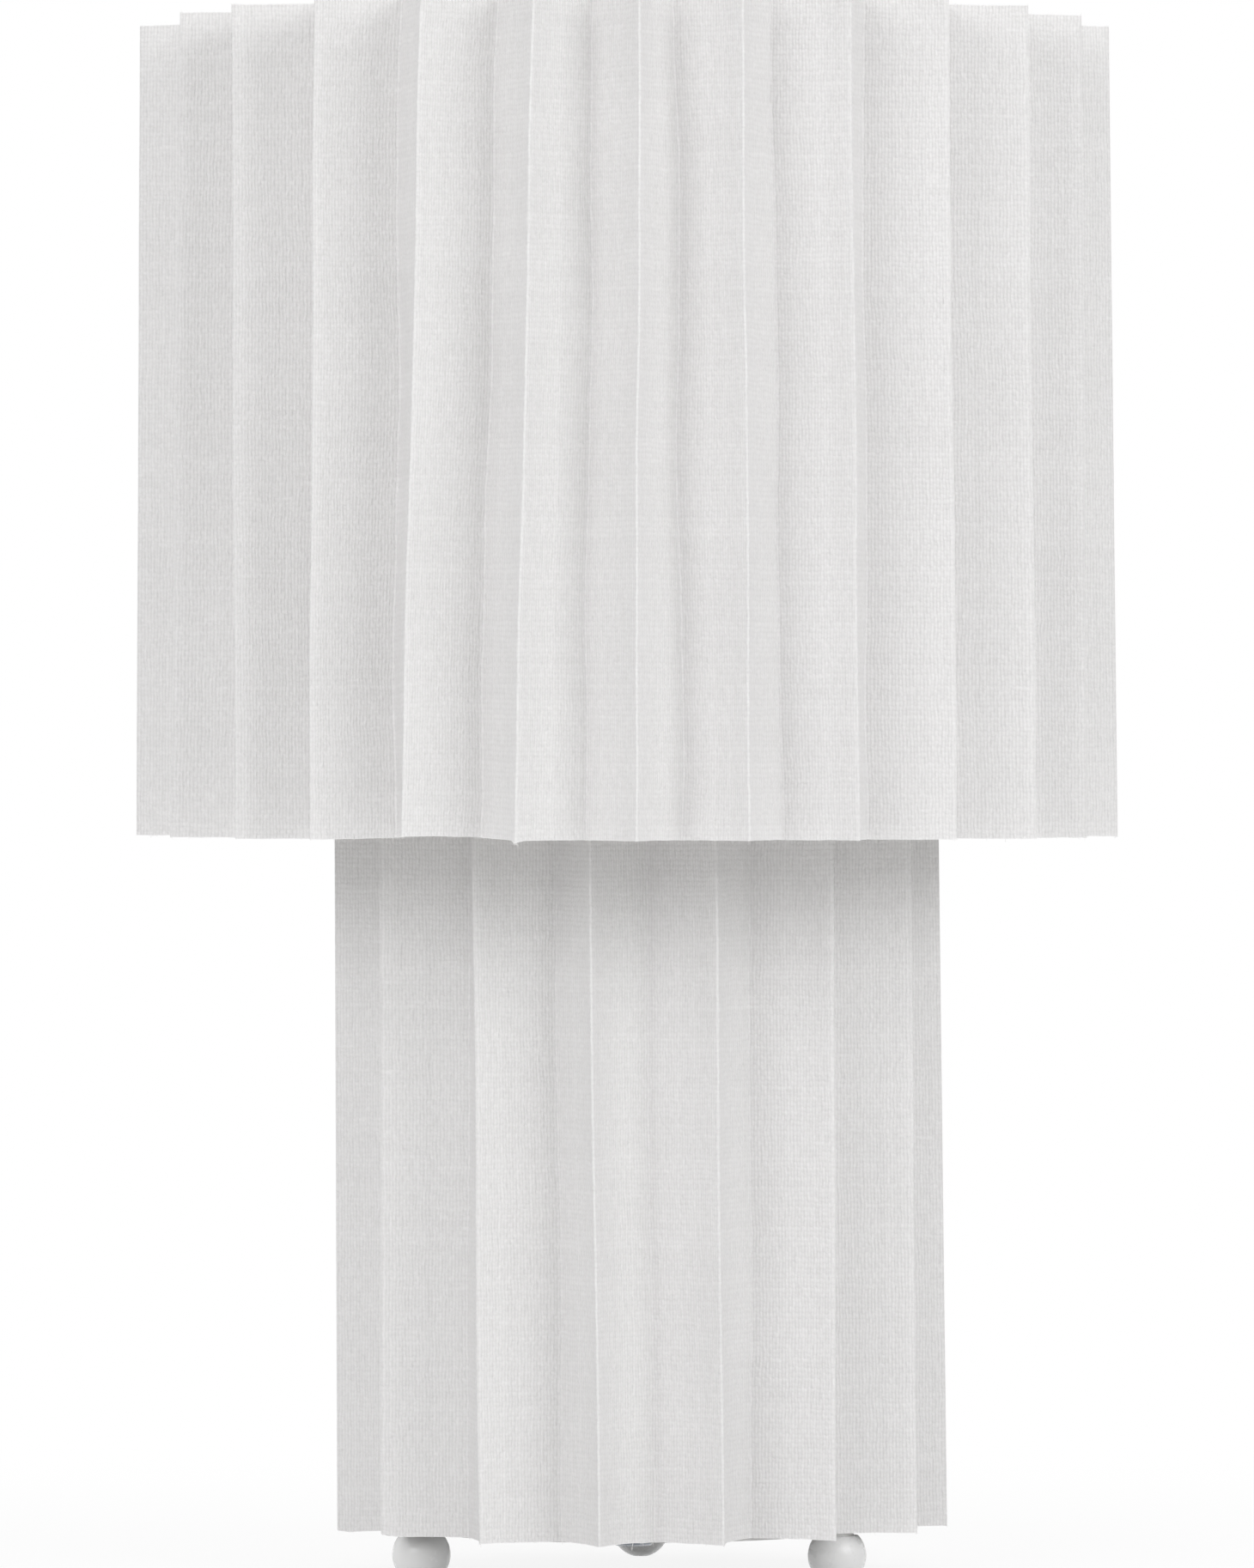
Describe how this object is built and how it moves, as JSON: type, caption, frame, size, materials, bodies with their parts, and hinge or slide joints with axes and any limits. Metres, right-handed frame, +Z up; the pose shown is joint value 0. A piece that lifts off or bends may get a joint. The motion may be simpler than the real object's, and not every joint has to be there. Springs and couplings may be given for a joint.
{
  "type": "table lamp",
  "caption": "Table lamp with a pleated linen drum shade over a narrower pleated linen column, on ball feet, with its shade frame, bulb holder and bulb.",
  "frame": {"origin": "the point where the lamp's upright axis meets the surface it stands on, under the middle of the overall box", "axes": "+Z up along the lamp's axis; -Y towards the front that the picture shows; +X to the right seen from the front"},
  "size_m": [0.2538, 0.2538, 0.4002],
  "materials": {
    "linen": "off-white linen in plain weave with slubs, on a stiff translucent backing",
    "white_lacquered_wood": "turned hardwood in white gloss lacquer",
    "white_painted_steel": "white powder coat, semi-matt",
    "cast_iron": "raw sand-cast grey iron",
    "zinc_plated_steel": "bright zinc plate",
    "white_plastic": "moulded heat-resistant plastic, satin",
    "brass": "plain rolled brass",
    "white_ceramic": "unglazed white steatite",
    "opal_glass": "blown opal glass, glossy",
    "bulb_cap_aluminium": "rolled aluminium",
    "black_glass": "pressed black glass, glossy"
  },
  "bodies": {
    "base": {"column_cover": "linen", "bottom_plate": "white_painted_steel", "foot_front_left": "white_lacquered_wood", "foot_front_right": "white_lacquered_wood", "foot_rear": "white_lacquered_wood", "foot_screws": "zinc_plated_steel", "ballast_disc": "cast_iron", "top_plate": "white_painted_steel", "stem_tube": "zinc_plated_steel", "stem_washer": "zinc_plated_steel", "stem_nut_bottom": "zinc_plated_steel", "ballast_nut": "zinc_plated_steel", "top_plate_nut_lower": "zinc_plated_steel", "top_plate_nut_upper": "zinc_plated_steel", "cord_bushing": "white_plastic", "holder_cap": "white_plastic", "holder_grub_screw": "zinc_plated_steel", "terminal_block": "white_ceramic", "terminal_screws": "brass", "centre_contact": "brass", "thread_shell": "brass", "holder_skirt": "white_plastic"},
    "shade": {"shade_cover": "linen", "shade_ring_bottom": "white_painted_steel", "shade_ring_top": "white_painted_steel", "shade_struts": "white_painted_steel", "spider_arms": "white_painted_steel", "fitter_ring": "white_painted_steel"},
    "clamp_nut": {"shade_clamp_nut": "white_plastic"},
    "bulb": {"bulb_glass": "opal_glass", "bulb_cap": "bulb_cap_aluminium", "bulb_insulator": "black_glass", "bulb_contact": "brass"}
  },
  "joints": [
    {"name": "shade_turn", "type": "hinge", "parent": "base", "child": "shade", "pos_m": [0, 0, 0.241], "axis": [0, 0, 1], "continuous": true},
    {"name": "nut_turn", "type": "hinge", "parent": "base", "child": "clamp_nut", "pos_m": [0, 0, 0.246], "axis": [0, 0, 1], "range_deg": [0, 900]},
    {"name": "bulb_turn", "type": "hinge", "parent": "base", "child": "bulb", "pos_m": [0, 0, 0.25], "axis": [0, 0, 1], "range_deg": [0, 900]}
  ]
}
